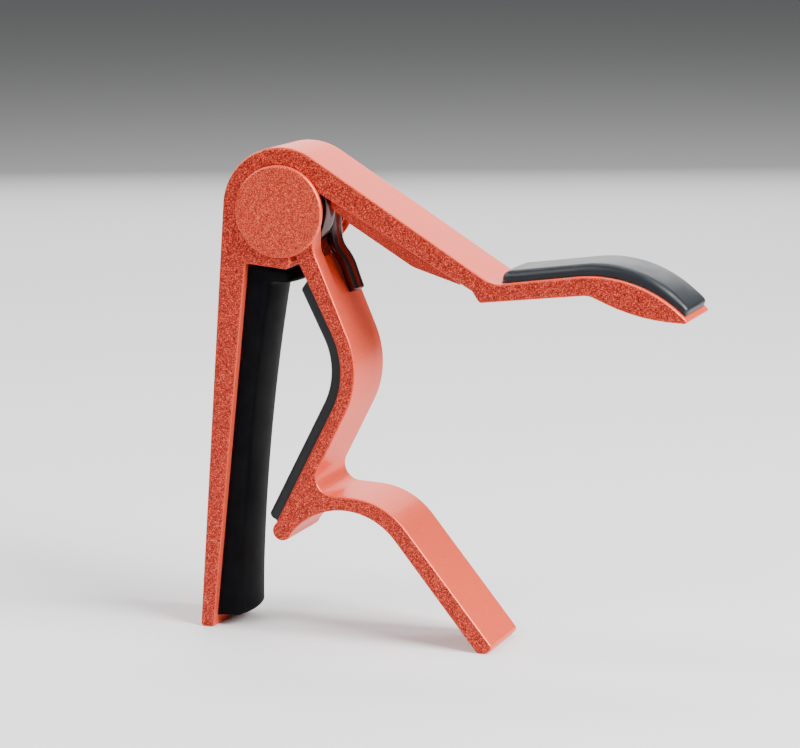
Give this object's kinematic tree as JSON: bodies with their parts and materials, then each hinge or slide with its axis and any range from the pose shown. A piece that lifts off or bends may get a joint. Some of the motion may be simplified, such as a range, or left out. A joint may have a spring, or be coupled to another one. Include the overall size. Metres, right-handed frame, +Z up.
{
  "type": "guitar capo",
  "caption": "Spring-loaded guitar capo: straight string bar with an upper handle, hinged jaw lever with a lower handle, rubber pads on the bar, jaw and upper handle.",
  "frame": {"origin": "middle of the footprint, on the surface the capo stands on", "axes": "+X from the string bar towards the handles' ends, +Y along the pivot pin, +Z up from the standing ends to the hub"},
  "size_m": [0.0864, 0.016, 0.0843],
  "materials": {
    "coral_paint": "satin metallic coral-red paint on a die casting",
    "coral_disc": "satin metallic coral-red paint on a stamped cap",
    "pin_steel": "ground",
    "spring_wire": "bright plated wire",
    "nylon_natural": "plain",
    "string_rubber": "satin",
    "jaw_rubber": "matte",
    "handle_silicone": "satin silicone",
    "adhesive_film": "clear film"
  },
  "bodies": {
    "frame": {"main_frame": "coral_paint", "pivot_pin": "pin_steel", "torsion_spring": "spring_wire", "spring_spool": "nylon_natural", "front_thrust_washer": "nylon_natural", "rear_thrust_washer": "nylon_natural", "front_cover_disc": "coral_disc", "rear_cover_disc": "coral_disc", "string_pad": "string_rubber", "handle_pad": "handle_silicone", "handle_pad_adhesive": "adhesive_film"},
    "lever": {"clamp_lever": "coral_paint", "jaw_pad": "jaw_rubber", "jaw_pad_adhesive": "adhesive_film"}
  },
  "joints": [
    {"name": "lever_pivot", "type": "hinge", "parent": "frame", "child": "lever", "pos_m": [-0.0277, 0, 0.0735], "axis": [0, -1, 0], "range_deg": [0, 26], "stiffness_Nm_per_rad": 2.5, "springref_deg": -25.78, "deforming": ["torsion_spring"]}
  ]
}
